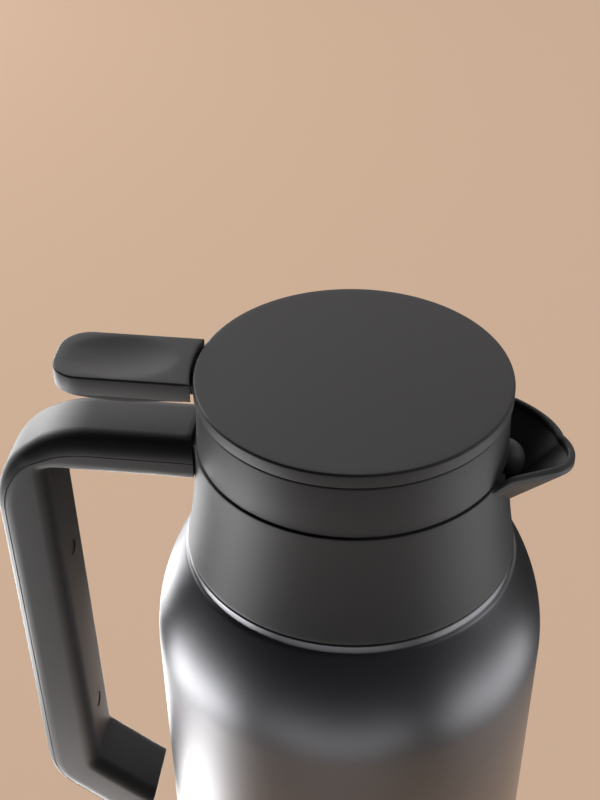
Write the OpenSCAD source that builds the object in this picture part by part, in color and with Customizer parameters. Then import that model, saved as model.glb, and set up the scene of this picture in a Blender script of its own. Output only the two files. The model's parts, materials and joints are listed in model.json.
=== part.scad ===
// Thermal carafe: a double-wall steel vessel, a plastic collar with a pouring spout, an open
// handle, and a lift-out lid whose thumb lever raises the valve of the stopper.
// Origin at the centre of the base. +Z is up, the spout points to +X and the handle to -X.

/* [Vessel] */
// Height of the upright lip under the collar
lip_z = 213.6; // [190:0.2:260]
// Widest diameter of the steel body
body_d = 138.2; // [134:0.2:146]
// Diameter of the body at its foot
base_d = 133; // [126:0.5:134]
// Rounding at the foot of the body
base_round = 5; // [3:0.5:8]
// Diameter of the upright lip
lip_d = 113.2; // [112:0.2:116]
// Height of the upright lip
lip_h = 3.6; // [2:0.2:5]
// Width of the step outside the lip
lip_step = 0.8; // [0.4:0.1:1.6]
// Height of the rounded shoulder
shoulder_h = 40; // [32:1:60]
// Thickness of both steel walls
wall_t = 0.8; // [0.6:0.1:1.2]
// Width of the vacuum gap between the walls
vacuum_gap = 3.4; // [2:0.2:5]
// Clear diameter of the mouth
mouth_d = 77; // [76:0.2:78]
// Gap between the two walls in the neck
neck_gap = 1.4; // [1:0.1:1.8]
// Height of the neck above the lip
neck_h = 18.4; // [17:0.2:20]
// Height of the floor of the inner flask
flask_z = 12; // [10:0.5:20]

/* [Base] */
// Thickness of the rubber pad under the base
pad_t = 2; // [1.5:0.1:3]
// Diameter of the rubber pad
pad_d = 116; // [108:1:120]
// Diameter of the opening that the base plate closes
plate_d = 92; // [60:1:100]

/* [Collar] */
// Height of the collar
collar_h = 41; // [40:0.2:46]
// Diameter of the collar at its top
collar_d = 105; // [104.6:0.2:108]
// Thickness of the upper wall of the collar
collar_wall = 2.7; // [2.4:0.1:3]
// Thickness of the lower wall and of the floor of the collar
collar_thin = 2.4; // [2:0.1:2.8]
// Thickness of the gasket on the mouth
gasket_t = 1.5; // [1:0.1:2]

/* [Spout] */
// Reach of the spout tip from the axis
spout_reach = 73.5; // [70:0.5:80]
// Radius of the rounded tip in plan
tip_r = 13; // [10:0.1:15]
// Half width of the spout where it leaves the collar
spout_half = 25.4; // [22:0.2:26]
// Thickness of the spout wall
spout_wall = 2.5; // [2:0.1:3]
// Rise of the spout rim above the collar at its highest place
spout_rise = 2.2; // [0:0.1:4]
// Drop of the spout rim below the collar at the tip
tip_drop = 0.6; // [0:0.1:2]
// Height of the centre of the keel below the collar top
keel_drop = 18.6; // [16:0.2:22]

/* [Handle] */
// Width of the handle
handle_w = 28; // [24:0.5:32]
// Height of the arm of the handle
arm_h = 16; // [14:0.5:18]
// Height of the top of the arm above the collar top
arm_rise = 1.2; // [-4:0.2:2]
// Distance from the axis to the centre of the outer bend
bend_x = 87.8; // [84:0.2:96]
// Outer radius of the bend
bend_r = 35; // [30:0.5:40]
// Thickness of the grip from front to back
grip_t = 21; // [18:0.5:24]
// Length of the grip from the bend to the knee
grip_l = 128.3; // [110:0.5:150]
// Slant of the grip toward the body at its foot
slant = 1.8; // [0:0.1:4]
// Angle of the foot of the handle below level
foot_angle = 38; // [30:1:50]
// Length of the top of the foot
foot_l = 28; // [20:0.5:32]
// Angle of the end face of the foot from upright
end_tilt = 12; // [5:0.5:20]
// Radius of the outer edges of the handle
edge_out = 7; // [5:0.5:7.5]
// Radius of the inner edges of the handle
edge_in = 5.5; // [3:0.5:6]
// Thickness of the handle walls
handle_wall = 2.6; // [2:0.1:3]
// Height of the cover along the arm
cover_arm = 7.4; // [5:0.2:9]
// Depth of the cover along the grip
cover_grip = 3.6; // [3.2:0.2:6]

/* [Lid] */
// Diameter of the lid disc
disc_d = 104; // [103.6:0.2:106]
// Thickness of the rim of the lid disc
disc_t = 5; // [4.4:0.1:7]
// Thickness of the top of the lid disc
top_t = 2.6; // [2:0.1:3]
// Overhang of the disc over the band of the lid
lid_lip = 0.7; // [0.3:0.1:2]
// Height of the skirt that shows above the collar
skirt_h = 19.6; // [19:0.2:24]
// Depth of the skirt inside the collar
nest_h = 9; // [8:0.2:9.6]
// Thickness of the skirt wall
skirt_wall = 2.4; // [2:0.1:3]
// Gap at the seams that show
seam = 0.4; // [0.3:0.05:0.8]
// How far the lid unit lifts out
lid_travel = 90; // [60:1:120]

/* [Lever] */
// Distance from the axis to the end of the lever
lever_x = 98.5; // [90:0.5:110]
// Width of the lever
lever_w = 27; // [22:0.5:30]
// Radius of the corners of the lever in plan
lever_corner = 10; // [5:0.5:11]
// Height of the lever above the disc
lever_rise = 0.8; // [-1:0.1:2]
// Thickness of the cap of the lever
cap_t = 7; // [5:0.1:8]
// Gap between the lever and the disc
lever_gap = 1; // [0.6:0.1:3]
// Depth of the belly of the lever below its top
belly = 10.1; // [8:0.1:12]
// Distance from the axis to the lever pin
pivot_x = 38; // [34:0.5:40]
// Depth of the lever pin below the top of the disc
pivot_drop = 12; // [11.6:0.1:13]
// Diameter of the lever pin
pin_d = 3; // [2.5:0.1:3.5]
// Width of the narrow arm under the disc
neck_w = 8; // [6:0.5:9]

/* [Valve] */
// Diameter of the valve rod
rod_d = 6; // [5:0.1:7]
// Diameter of the stopper
plug_d = 72; // [68:0.2:73]
// Height of the floor of the stopper below the lip
plug_drop = 3.6; // [2:0.2:6]
// Diameter of the valve seat
seat_d = 26; // [20:0.5:30]
// Diameter of the valve head
head_d = 33; // [31:0.5:40]
// Mean diameter of the valve spring
coil_d = 18; // [14:0.5:24]
// Diameter of the spring wire
wire_d = 1.2; // [0.8:0.1:1.6]
// Number of turns of the spring
coil_n = 7; // [5:1:10]

/* [Pour flap] */
// Radius of the rounded nose of the flap
nose_r = 7; // [6:0.2:8.6]
// Height of the middle of the nose above the collar top
nose_rise = -5; // [-6:0.2:1]
// Radius of the lower end of the flap
chin_r = 3.5; // [2.5:0.1:4]
// Distance from the nose down to the lower end of the flap
chin_drop = 5.6; // [5:0.2:10.4]
// Diameter of the flap pin
flap_pin_d = 2; // [1.6:0.1:2.4]

/* [Hidden] */
$fn = 96;

// Clearances
slide_gap = 0.5;
near_gap = 0.3;
run_fit = 0.06;
press_fit = 0.02;
thread_fit = 0.02;
over = 1;

// Screws: one size throughout
screw_r = 1.4;
hole_r = 1.65;
head_r = 2.8;
head_h = 1.8;
boss_r = 4;

// Colours as photographed
black = [0.2, 0.195, 0.2];
satin = [0.3, 0.295, 0.31];
bright = [0.75, 0.75, 0.76];
rubber = [0.12, 0.12, 0.12];
silicone = [0.85, 0.84, 0.8];

// Levels of the vessel
body_r = body_d / 2;
base_r = base_d / 2;
lip_r = lip_d / 2;
mouth_r = mouth_d / 2;
flask_neck_r = mouth_r + wall_t;
neck_r = flask_neck_r + neck_gap + wall_t;
widest_z = lip_z - lip_h - shoulder_h;
shoulder_run = body_r - lip_r - lip_step;
shoulder_r = (shoulder_run * shoulder_run + shoulder_h * shoulder_h) / (2 * shoulder_run);
shoulder_a = asin(shoulder_h / shoulder_r);
neck_top = lip_z + neck_h;
flask_round = 8;
flask_shoulder_z = widest_z - 6;
flask_top_z = lip_z - 6.6;
plate_lap = 4;
vent_r = 2;
bead_r = 1.2;
bead_z = neck_top - 4;
bead_sink = 0.3;
plug_rim_h = 1.2;
gasket_gap = 0.4;

// Levels of the collar
collar_z0 = lip_z + seam;
collar_z1 = collar_z0 + collar_h;
collar_r = collar_d / 2;
cup_r = collar_r - collar_wall;
flare_run = lip_r - collar_r;
flare_r = (flare_run * flare_run + collar_h * collar_h) / (2 * flare_run);
collar_edge = 0.5;
floor_z0 = neck_top + wall_t + gasket_t;
floor_r0 = mouth_r + slide_gap;
floor_z1 = floor_z0 + collar_thin;
floor_slope = 2.2;
collar_screw_n = 4;
collar_boss_r = 3.4;
collar_boss_at = neck_r + bead_r + collar_boss_r + near_gap;
clamp_t = 3;
clamp_z = bead_z - bead_r - clamp_t;
clamp_r = min(collar_boss_at + collar_boss_r, collar_in(clamp_z + clamp_t) - near_gap);
boss_foot = clamp_z + clamp_t;
boss_lap = 2;
floor_lap = 1.5;
under_lap = 0.4;
thread_l = 7.5;
keel_in = 1.3;
spout_lap = 0.6;
spout_back = 44.6;
spout_spare = 6;
step_in = 3;
crest_x = collar_r + 0.5;

// Levels of the lid
skirt_z0 = collar_z1 + seam;
disc_z0 = skirt_z0 + skirt_h;
disc_z1 = disc_z0 + disc_t;
disc_r = disc_d / 2;
skirt_r = disc_r - lid_lip;
skirt_in = skirt_r - skirt_wall;
nest_r = cup_r - slide_gap;
nest_z = skirt_z0 - nest_h;
floor_t = 2.5;
disc_edge = 0.6;
edge_mid = 0.18;
low_edge = 0.3;
ring_drop = 3.5;
cap_solid = 1;
lid_thread = 5;
slot_lap = 4;
slot_room = 0.6;
slot_drop = 3;
plug_boss_h = 10;
plug_thread = 8;
seal_recess = 1.5;
band_rise = 2;
cup_drop = 1;
lid_floor = nest_z + floor_t;
post_top = disc_z0 - 4;
post_r = 4.6;
lid_screw_at = 40;
lid_screw_in = 3.5;
lid_screw_angles = [50, 130, 230, 310];
counterbore = 3;
guide_r = 7;
guide_top = lid_floor + 4;
ring_r1 = skirt_in - 0.4;
ring_r0 = ring_r1 - 1.9;

// Levels of the handle
root_out = 1;
arm_z1 = collar_z1 + arm_rise;
arm_z0 = arm_z1 - arm_h;
bend_in = bend_r - grip_t;
bend_c = [-bend_x, arm_z1 - bend_r];
root_r = collar_r + root_out;
pad_r = root_r - near_gap;
grip_face = 180 + slant;
foot_face = 270 - foot_angle;
knee_c = bend_c + bend_in * [cos(grip_face), sin(grip_face)] + grip_l * [sin(slant), -cos(slant)];
foot_way = [cos(foot_angle), -sin(foot_angle)];
knee_rib = 2;
tenon_l = 19;
handle_screw_xs = [root_r + 6.5, root_r + 15];
cover_screw_zs = [26, 106];
arm_thread = 8;
arm_sink = 0.3;
pad_in = 2.4;
pad_drop = 0.8;
tenon_w = handle_w - 2 * edge_out + 6.4;
tenon_drop = 1.4;
hollow_w = handle_w - 2 * edge_out + 7;
grip_sink = 0.3;
grip_head_h = 1.6;
screw_sink = 1.5;
grip_screw_l = grip_t - handle_wall - 3;
grip_boss_l = grip_t - handle_wall - 2;
screw_room = 0.2;

// Levels of the lever
lever_z1 = disc_z1 + lever_rise;
lever_end_r = disc_r + lever_gap;
pivot_z = disc_z1 - pivot_drop;
pin_r = pin_d / 2;
lever_boss_r = pin_r + 3.1;
lever_boss_w = 10.6;
ear_gap = 2.5;
ear_t = 3.2;
ear_room = 0.6;
ear_half_x = 4;
neck_z0 = disc_z0 - 4.8;
neck_z1 = min(disc_z0 - near_gap, lever_z1 - cap_t - press_fit);
arm_end_r = lever_end_r + 1.4;
prong_in = rod_d / 2 + 1.2;
prong_t = 3;
fork_r = 2;
fork_z = pivot_z - 4.3;

shell_in = 1;
neck_lap = 8;
// Underside of the lever: shares of its length, and heights above its lowest point
belly_line = [
    [0.04, 2.6], [0.155, 1.9], [0.265, 1], [0.375, 0.35], [0.508, 0],
    [0.662, 0.4], [0.795, 1.3], [0.905, 2], [1, 2.3]
];

// Levels of the valve
rod_r = rod_d / 2;
plug_r = plug_d / 2;
plug_wall = 2;
plug_z0 = lip_z - plug_drop;
plug_floor = plug_z0 + 3;
flange_t = 2.5;
flange_z = nest_z - flange_t;
flange_r = plug_r + 8;
plug_screw_at = 40;
plug_screw_angles = [90, 210, 330];
port_w = 16;
port_h = 5.4;
port_z = flange_z - port_h - 0.4;
port_angles = [-45, 0, 45];
seal_z = neck_top - 11;
seal_h = 7;
rib_h = 1.2;
rib_r = plug_r + 1.1;
gasket_z = plug_floor + 0.2;
disc_h = 2;
head_t = 3;
head_z = gasket_z + disc_h;
spring_z0 = head_z + head_t;
flange_lift = fork_z + fork_r + near_gap;
cap_flange = 2;
rod_top = flange_lift + cap_flange + 1.5;
nut_h = 2.2;
rod_end = 0.4;
plug_screw_l = flange_t + 6;
seal_gap = 0.05;
seal_line = [[1.2, 1.8], [2.6, 4], [4.8, 5.4]];
rod_seal_h = 1.4;

// Levels of the flap
flap_x = skirt_in - 1.7;
flap_r = flap_pin_d / 2;
nose_z = collar_z1 + nose_rise;
flap_z = nose_z + nose_r + 1.5;
lug_w = 6.4;
flap_room = 3;
flap_ear_t = 3;
flap_ear_in = 2.6;
lug_half = 2;
lug_drop = 4.6;
lug_arm_h = 3.4;
lug_lap = 1.6;
flap_back = max(skirt_r, nest_r) + near_gap;

// Inner radius of the wall of the collar at height z
function collar_in(z) = collar_r + flare_r - sqrt((flare_r + collar_thin) ^ 2 - (collar_z1 - z) ^ 2);

// Points on an arc, from angle a0 to a1 in n steps
function arc(c, r, a0, a1, n) = [for (i = [0:n]) let (a = a0 + (a1 - a0) * i / n) c + r * [cos(a), sin(a)]];

// Half outline of the steel body, drawn in by inset
function body_line(inset) = concat(
    [[0, pad_t + inset]],
    arc([base_r - base_round, pad_t + base_round], base_round - inset, -90, 0, 8),
    arc([body_r - shoulder_r, widest_z], shoulder_r - inset, 0, shoulder_a, 24),
    [[lip_r - inset, lip_z - lip_h + lip_step / 2], [lip_r - inset, lip_z - inset], [0, lip_z - inset]]
);

// Half outline of the inner flask, drawn in by inset
function flask_line(inset) =
    let (side = body_r - wall_t - vacuum_gap, foot = base_r - wall_t - vacuum_gap)
    let (run = side - flask_neck_r, rise = flask_top_z - flask_shoulder_z)
    concat(
        [[0, flask_z + inset]],
        arc([foot - flask_round, flask_z + flask_round], flask_round - inset, -90, 0, 8),
        [for (i = [0:20]) let (a = 90 * i / 20)
            [flask_neck_r - inset + run * cos(a), flask_shoulder_z + (rise - inset) * sin(a)]],
        [[flask_neck_r - inset, neck_top], [0, neck_top]]
    );

// A ring of copies about the axis
module around(angles, at) {
    for (a = angles) rotate([0, 0, a]) translate([at, 0, 0]) children();
}

// A ring with a square section
module ring(r0, r1, h) {
    difference() {
        cylinder(r = r1, h = h);
        translate([0, 0, -over]) cylinder(r = r0, h = h + 2 * over);
    }
}

// A screw whose head is below its shank, standing on the head
module screw(length) {
    cylinder(r = head_r, h = head_h);
    cylinder(r = screw_r, h = head_h + length);
}

// A shape drawn in side view, X across and Z up, and made w wide
module side(w) {
    translate([0, w / 2, 0]) rotate([90, 0, 0]) linear_extrude(w) children();
}

// A rod along Y, centred on the plane of symmetry
module cross_rod(x, z, r, w) {
    translate([x, w / 2, z]) rotate([90, 0, 0]) cylinder(r = r, h = w);
}

module outer_shell() {
    color(satin)
    difference() {
        union() {
            rotate_extrude() polygon(body_line(0));
            translate([0, 0, lip_z - wall_t]) cylinder(r = neck_r, h = neck_h + wall_t);
            rotate_extrude() translate([neck_r - bead_sink, bead_z]) circle(r = bead_r, $fn = 32);
        }
        rotate_extrude() polygon(body_line(wall_t));
        translate([0, 0, lip_z - 2 * wall_t]) cylinder(r = neck_r - wall_t, h = neck_h + 3 * wall_t);
        translate([0, 0, pad_t - over]) cylinder(d = plate_d, h = over + 2 * wall_t);
    }
}

module inner_flask() {
    color(bright)
    difference() {
        union() {
            rotate_extrude() polygon(flask_line(0));
            translate([0, 0, neck_top]) cylinder(r = neck_r, h = wall_t);
        }
        rotate_extrude() polygon(flask_line(wall_t));
        translate([0, 0, neck_top - wall_t]) cylinder(r = mouth_r, h = 3 * wall_t);
    }
}

module base_plate() {
    color(bright)
    translate([0, 0, pad_t + wall_t])
    difference() {
        cylinder(r = plate_d / 2 + plate_lap, h = wall_t);
        translate([0, 0, -over]) cylinder(r = vent_r, h = wall_t + 2 * over);
    }
}

module seal_plug() {
    color(bright) {
        translate([0, 0, pad_t + wall_t]) cylinder(r = vent_r - press_fit, h = wall_t);
        translate([0, 0, pad_t + 2 * wall_t]) cylinder(r = 2 * vent_r, h = plug_rim_h);
    }
}

module vacuum_getter() {
    getter_h = 2.5;
    getter_r = 7;
    getter_at = 25;
    color(bright) translate([getter_at, 0, flask_z - getter_h]) cylinder(r = getter_r, h = getter_h);
}

module base_pad() {
    groove_w = 3;
    groove_d = 0.7;
    groove_pitch = 12;
    color(rubber)
    difference() {
        cylinder(d = pad_d, h = pad_t);
        for (r = [groove_pitch:groove_pitch:pad_d / 2 - groove_w - 2])
            translate([0, 0, -over]) ring(r, r + groove_w, over + groove_d);
    }
}

module neck_gasket() {
    color(silicone) translate([0, 0, neck_top + wall_t]) ring(mouth_r + gasket_gap, neck_r, gasket_t);
}

// Plan of the spout, drawn in by inset
module spout_plan(inset, back) {
    hull() {
        translate([spout_reach - tip_r, 0]) circle(r = tip_r - inset, $fn = 48);
        translate([back, -spout_half + inset]) square([over, 2 * (spout_half - inset)]);
    }
}

// Trough of the spout from its keel up to its rim
module spout_form(inset, back, top) {
    rim_h = 2;
    hull() {
        translate([0, 0, collar_z1 - rim_h]) linear_extrude(rim_h + top) spout_plan(inset, back);
        translate([cup_r - keel_in, 0, collar_z1 - keel_drop])
            sphere(r = 2 * spout_wall - inset, $fn = 32);
    }
}

module collar() {
    arc_c = [collar_r + flare_r, collar_z1];
    end_a = 180 + asin(collar_h / flare_r);
    under_z = floor_z0 + floor_slope - under_lap;
    under_a = 180 + asin((collar_z1 - under_z) / (flare_r + collar_thin));
    low_a = 180 + asin(collar_h / (flare_r + collar_thin));
    color(black)
    difference() {
        union() {
            rotate_extrude() polygon(concat(
                [[floor_r0, floor_z1], [floor_r0, floor_z0], [neck_r + floor_lap, floor_z0]],
                arc(arc_c, flare_r + collar_thin, under_a, low_a, 12),
                arc(arc_c, flare_r, end_a, 180 + asin(collar_edge / flare_r), 20),
                [[collar_r - collar_edge, collar_z1], [cup_r, collar_z1], [cup_r, floor_z1 + floor_slope]]
            ));
            difference() {
                spout_form(0, spout_back, spout_spare);
                translate([0, 0, collar_z0]) cylinder(r = cup_r + spout_lap, h = 2 * collar_h);
            }
            around([for (i = [0:collar_screw_n - 1]) 45 + i * 360 / collar_screw_n], collar_boss_at)
                translate([0, 0, boss_foot]) cylinder(r = collar_boss_r, h = floor_z0 + boss_lap - boss_foot);
            handle_pad();
        }
        difference() {
            spout_form(spout_wall, spout_back - spout_spare, 2 * spout_spare);
            translate([0, 0, collar_z0]) cylinder(r = cup_r + step_in, h = floor_z1 + floor_slope - collar_z0);
        }
        side(2 * collar_d) polygon([
            [-collar_d, collar_z1], [spout_back + 2, collar_z1], [crest_x, collar_z1 + spout_rise],
            [spout_reach, collar_z1 - tip_drop], [collar_d, collar_z1 - 2 * tip_drop],
            [collar_d, 2 * collar_z1], [-collar_d, 2 * collar_z1]
        ]);
        around([for (i = [0:collar_screw_n - 1]) 45 + i * 360 / collar_screw_n], collar_boss_at)
            translate([0, 0, boss_foot - over]) cylinder(r = screw_r + thread_fit, h = over + thread_l);
        for (x = handle_screw_xs)
            translate([-x, 0, arm_z0]) cylinder(r = screw_r + thread_fit, h = handle_wall + arm_thread);
    }
}

// Pad on the back of the collar and the tenon inside the arm
module handle_pad() {
    intersection() {
        translate([0, 0, arm_z0]) ring(cup_r + over, pad_r, arm_h);
        translate([-collar_d, -handle_w / 2 + pad_in, arm_z0 + pad_in])
            cube([collar_d, handle_w - 2 * pad_in, collar_z1 - pad_drop - arm_z0 - pad_in]);
    }
    translate([-root_r - tenon_l, -tenon_w / 2, arm_z0 + handle_wall])
        cube([tenon_l + root_r - cup_r - over, tenon_w, arm_h - 2 * handle_wall - tenon_drop]);
}

module clamp_ring() {
    color(black)
    translate([0, 0, clamp_z])
    difference() {
        ring(neck_r + near_gap, clamp_r, clamp_t - press_fit);
        around([for (i = [0:collar_screw_n - 1]) 45 + i * 360 / collar_screw_n], collar_boss_at)
            translate([0, 0, -over]) cylinder(r = hole_r, h = clamp_t + 2 * over);
    }
}

module collar_screws() {
    color(bright)
    around([for (i = [0:collar_screw_n - 1]) 45 + i * 360 / collar_screw_n], collar_boss_at)
        translate([0, 0, clamp_z - head_h]) screw(clamp_t + 6);
}

// Section of the handle: X from its inner face to its outer face, Y across
module handle_section(depth, outer, inner) {
    half = handle_w / 2;
    translate([inner, -half]) square([depth - inner - outer, handle_w]);
    translate([0, -half + inner]) square([depth - outer, handle_w - 2 * inner]);
    translate([inner, -half + outer]) square([depth - inner, handle_w - 2 * outer]);
    for (y = [-1, 1]) {
        translate([depth - outer, y * (half - outer)]) circle(r = outer, $fn = 48);
        translate([inner, y * (half - inner)]) circle(r = inner, $fn = 48);
    }
}

// A straight run of the handle whose outer face looks along the angle face
module run(at, face, length, offset) {
    translate([at[0], 0, at[1]]) rotate([0, 90 - face, 0]) translate([0, 0, offset])
        rotate([0, -90, 0]) linear_extrude(length) children();
}

// A curved run of the handle about the point at
module turn(at, from, to, r0) {
    translate([at[0], 0, at[1]]) rotate([90, 0, 0]) rotate([0, 0, from])
        rotate_extrude(angle = to - from) translate([r0, 0]) children();
}

// A flat bar in side view from the point at, its outer side looking along the angle face
module bar(at, face, length, r0, r1) {
    translate(at) rotate(face) translate([r0, 0]) square([r1 - r0, length]);
}

// Section of a turn: round on its outer edges, with a chamfer c on its inner ones
module turn_section(depth, c) {
    half = handle_w / 2;
    polygon([
        [0, c - half], [c, -half], [depth - edge_out, -half],
        [depth - edge_out, half], [c, half], [0, half - c]
    ]);
    translate([c, -half + edge_out]) square([depth - c, handle_w - 2 * edge_out]);
    for (y = [-1, 1]) translate([depth - edge_out, y * (half - edge_out)]) circle(r = edge_out, $fn = 48);
}

module handle_form() {
    rise = bend_r - arm_h;
    up = (rise + bend_in * sin(slant)) / cos(slant);
    inner_face = bend_c + bend_in * [-cos(slant), -sin(slant)];
    difference() {
        union() {
            run([-collar_r + 4, arm_z0], 90, bend_x - collar_r + 4, 0) handle_section(arm_h, edge_out, edge_in);
            difference() {
                turn(bend_c, 90, grip_face, 0) turn_section(bend_r, edge_in / 2);
                side(2 * handle_w) polygon([
                    inner_face + up * [-sin(slant), cos(slant)], inner_face + over * [sin(slant), -cos(slant)],
                    bend_c + [over, -over], bend_c + [over, rise]
                ]);
            }
            run(bend_c, grip_face, grip_l, bend_in) handle_section(grip_t, edge_out, edge_in);
            turn(knee_c, grip_face, foot_face, 0) turn_section(grip_t, edge_in);
            run(knee_c, foot_face, 2 * foot_l, 0) handle_section(grip_t, edge_out, edge_in);
        }
        translate([0, 0, arm_z0 - over]) cylinder(r = root_r, h = arm_h + 2 * over);
        side(2 * handle_w) foot_cut(0);
    }
}

// Everything beyond the end face of the foot, moved back by inset
module foot_cut(inset) {
    tip = knee_c + (foot_l - inset) * foot_way;
    translate(tip) rotate(-end_tilt) translate([0, -2 * foot_l]) square([2 * foot_l, 3 * foot_l]);
}

// The hollow inside the handle, open at its root
module handle_hollow() {
    w = handle_wall;
    half_turn = bend_r - w;
    side(hollow_w)
    difference() {
        union() {
            bar([-root_r + over, arm_z0], 90, bend_x - root_r + over, w, arm_h - w);
            difference() {
                intersection() {
                    translate(bend_c) circle(r = half_turn);
                    translate(bend_c - [bend_r, over]) square([bend_r + over, bend_r + over]);
                }
                translate(bend_c - [bend_in + w, 2 * over])
                    square([bend_in + w + over, bend_r - arm_h + w + 2 * over]);
            }
            bar(bend_c, grip_face, grip_l - knee_rib, bend_in + w, half_turn);
            bar(knee_c + knee_rib * foot_way, foot_face, 2 * foot_l, w, grip_t - w);
        }
        foot_cut(w);
    }
}

// The side view of the frame of the handle: all that lies inside its cover
module frame_side(gap) {
    far = grip_t + over;
    translate([-bend_x, arm_z0 - over]) square([bend_x, arm_h - cover_arm - gap + over]);
    translate(bend_c - [0, cover_arm - cover_grip]) circle(r = bend_r - cover_grip - gap);
    bar(bend_c, grip_face, grip_l, bend_in - over, bend_r - cover_grip - gap);
    translate(knee_c) circle(r = grip_t - cover_grip - gap);
    bar(knee_c, foot_face, 2 * foot_l, -far, grip_t - cover_grip - gap);
}

module handle_frame() {
    color(black)
    difference() {
        intersection() {
            difference() {
                handle_form();
                handle_hollow();
            }
            side(2 * handle_w) frame_side(press_fit);
        }
        for (x = handle_screw_xs) translate([-x, 0, arm_z0 - over]) {
            cylinder(r = hole_r, h = 2 * handle_wall);
            cylinder(r = head_r + screw_room, h = over + head_h - arm_sink);
        }
        grip_screws(screw_room);
    }
}

// The screws of the cover, or their holes when grown by spare
module grip_screws(spare) {
    for (z = cover_screw_zs)
        translate([bend_c[0], 0, bend_c[1]]) rotate([0, -slant, 0]) translate([-bend_in - grip_sink, 0, -z])
            rotate([0, -90, 0]) {
                translate([0, 0, -spare * 4]) cylinder(r = head_r + spare, h = grip_head_h + spare * 4);
                cylinder(r = screw_r + spare, h = grip_screw_l);
            }
}

module handle_cover() {
    color(black)
    difference() {
        union() {
            difference() {
                handle_form();
                handle_hollow();
                side(2 * handle_w) frame_side(0);
            }
            for (z = cover_screw_zs)
                translate([bend_c[0], 0, bend_c[1]]) rotate([0, -slant, 0])
                    translate([-bend_r + 2, 0, -z]) rotate([0, 90, 0])
                    cylinder(r = boss_r, h = grip_t - handle_wall - 2 - near_gap);
        }
        for (z = cover_screw_zs)
            translate([bend_c[0], 0, bend_c[1]]) rotate([0, -slant, 0]) translate([-bend_in, 0, -z])
                rotate([0, -90, 0]) cylinder(r = screw_r + thread_fit, h = grip_screw_l + screw_sink);
    }
}

module handle_screws() {
    color(bright)
    for (x = handle_screw_xs) translate([-x, 0, arm_z0 - arm_sink]) screw(arm_thread);
}

module cover_screws() {
    color(bright) grip_screws(0);
}

module lid_cover() {
    color(black)
    difference() {
        union() {
            rotate_extrude() polygon([
                [0, disc_z1 - top_t], [ring_r0, disc_z1 - top_t], [ring_r0, disc_z0 - ring_drop],
                [ring_r1, disc_z0 - ring_drop], [ring_r1, disc_z0], [disc_r - low_edge, disc_z0],
                [disc_r, disc_z0 + low_edge], [disc_r, disc_z1 - disc_edge],
                [disc_r - edge_mid, disc_z1 - edge_mid],
                [disc_r - disc_edge, disc_z1], [0, disc_z1]
            ]);
            around(lid_screw_angles, lid_screw_at)
                translate([0, 0, post_top]) cylinder(r = boss_r, h = disc_z1 - cap_solid - post_top);
        }
        around(lid_screw_angles, lid_screw_at)
            translate([0, 0, post_top - over]) cylinder(r = screw_r + thread_fit, h = over + lid_thread);
        translate([-disc_d, -neck_w / 2 - 1, disc_z0 - 2 * disc_t])
            cube([disc_d - ring_r0 + slot_lap, neck_w + 2, 2 * disc_t]);
    }
}

module lid_skirt() {
    shoulder = 0.8;
    color(black)
    difference() {
        union() {
            rotate_extrude() polygon([
                [0, nest_z], [nest_r, nest_z], [nest_r, skirt_z0], [skirt_r - low_edge, skirt_z0],
                [skirt_r, skirt_z0 + low_edge], [skirt_r, disc_z0 - shoulder], [skirt_r - low_edge, disc_z0],
                [skirt_in, disc_z0], [skirt_in, skirt_z0 + band_rise],
                [nest_r - skirt_wall, skirt_z0 - cup_drop],
                [nest_r - skirt_wall, lid_floor], [0, lid_floor]
            ]);
            translate([0, 0, nest_z]) cylinder(r = guide_r, h = guide_top - nest_z);
            around(lid_screw_angles, lid_screw_at)
                translate([0, 0, nest_z]) cylinder(r = post_r, h = post_top - nest_z);
            around(plug_screw_angles, plug_screw_at)
                translate([0, 0, nest_z]) cylinder(r = boss_r, h = plug_boss_h);
            lever_ears();
            flap_ears();
        }
        translate([0, 0, nest_z - over]) cylinder(r = rod_r + run_fit, h = guide_top - nest_z + 2 * over);
        translate([0, 0, nest_z - over]) cylinder(r = 2 * rod_r, h = over + seal_recess);
        around(lid_screw_angles, lid_screw_at) translate([0, 0, nest_z - over]) {
            cylinder(r = hole_r, h = disc_z0);
            cylinder(r = head_r + 0.3, h = over + counterbore);
        }
        around(plug_screw_angles, plug_screw_at)
            translate([0, 0, nest_z - over]) cylinder(r = screw_r + thread_fit, h = over + plug_thread);
        translate([-disc_d, -neck_w / 2 - slot_room, neck_z0 - slot_drop])
            cube([disc_d - ring_r0 + slot_drop, neck_w + 2 * slot_room, disc_z0]);
        translate([flap_x - flap_room, -lug_w / 2 - near_gap, flap_z - 2 * flap_room])
            cube([disc_r, lug_w + 2 * near_gap, 3 * flap_room]);
        cross_rod(-pivot_x, pivot_z, pin_r + press_fit, disc_r);
        cross_rod(flap_x, flap_z, flap_r + press_fit, disc_r / 2);
    }
}

// Two posts that carry the lever pin
module lever_ears() {
    inner = prong_in + prong_t + ear_room;
    for (y = [-inner - ear_t, inner])
        translate([-pivot_x - ear_half_x, y, nest_z])
            cube([2 * ear_half_x, ear_t, pivot_z + pin_r + 2 - nest_z]);
}

// Two ears on the skirt wall that carry the flap pin
module flap_ears() {
    for (y = [-lug_w / 2 - near_gap - flap_ear_t, lug_w / 2 + near_gap])
        translate([flap_x - flap_ear_in, y, flap_z - flap_room])
            cube([skirt_r - flap_x, flap_ear_t, 2 * flap_room]);
}

module lid_screws() {
    color(bright)
    around(lid_screw_angles, lid_screw_at)
        translate([0, 0, nest_z + counterbore - head_h]) screw(post_top + lid_screw_in - nest_z - counterbore);
}

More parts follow.
